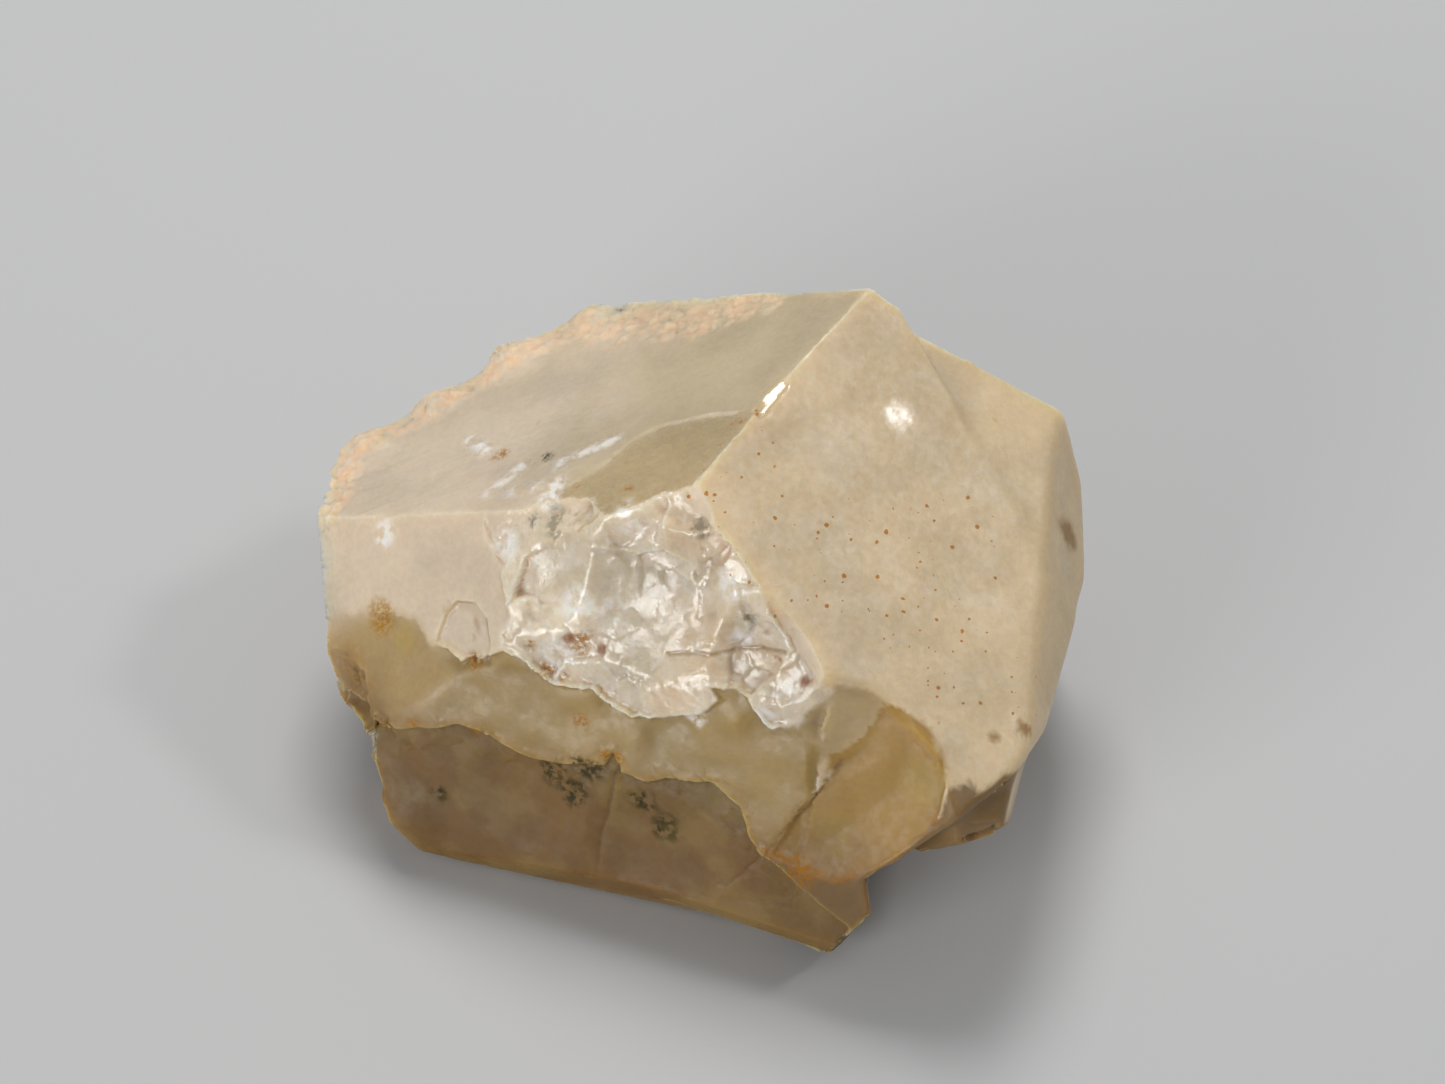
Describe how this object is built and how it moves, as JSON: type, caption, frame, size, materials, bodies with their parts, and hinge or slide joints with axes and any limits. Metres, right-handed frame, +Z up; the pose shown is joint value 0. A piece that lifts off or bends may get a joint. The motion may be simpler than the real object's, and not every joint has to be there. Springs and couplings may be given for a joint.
{
  "type": "phenakite crystal",
  "caption": "Stubby milky crystal with sloping roof faces, a glassy chipped patch, a yellow fracture scar and a broken root end.",
  "frame": {"origin": "middle of the bounding box in plan, on the plane the crystal rests on", "axes": "+X along the length from the broken root end to the crown end, +Z up from the resting face"},
  "size_m": [0.0282, 0.023, 0.0173],
  "materials": {
    "milky_phenakite": "milky translucent crystal, waxy to glassy, with iron-stained cracks"
  },
  "bodies": {
    "root": {"phenakite_crystal": "milky_phenakite"}
  },
  "joints": []
}
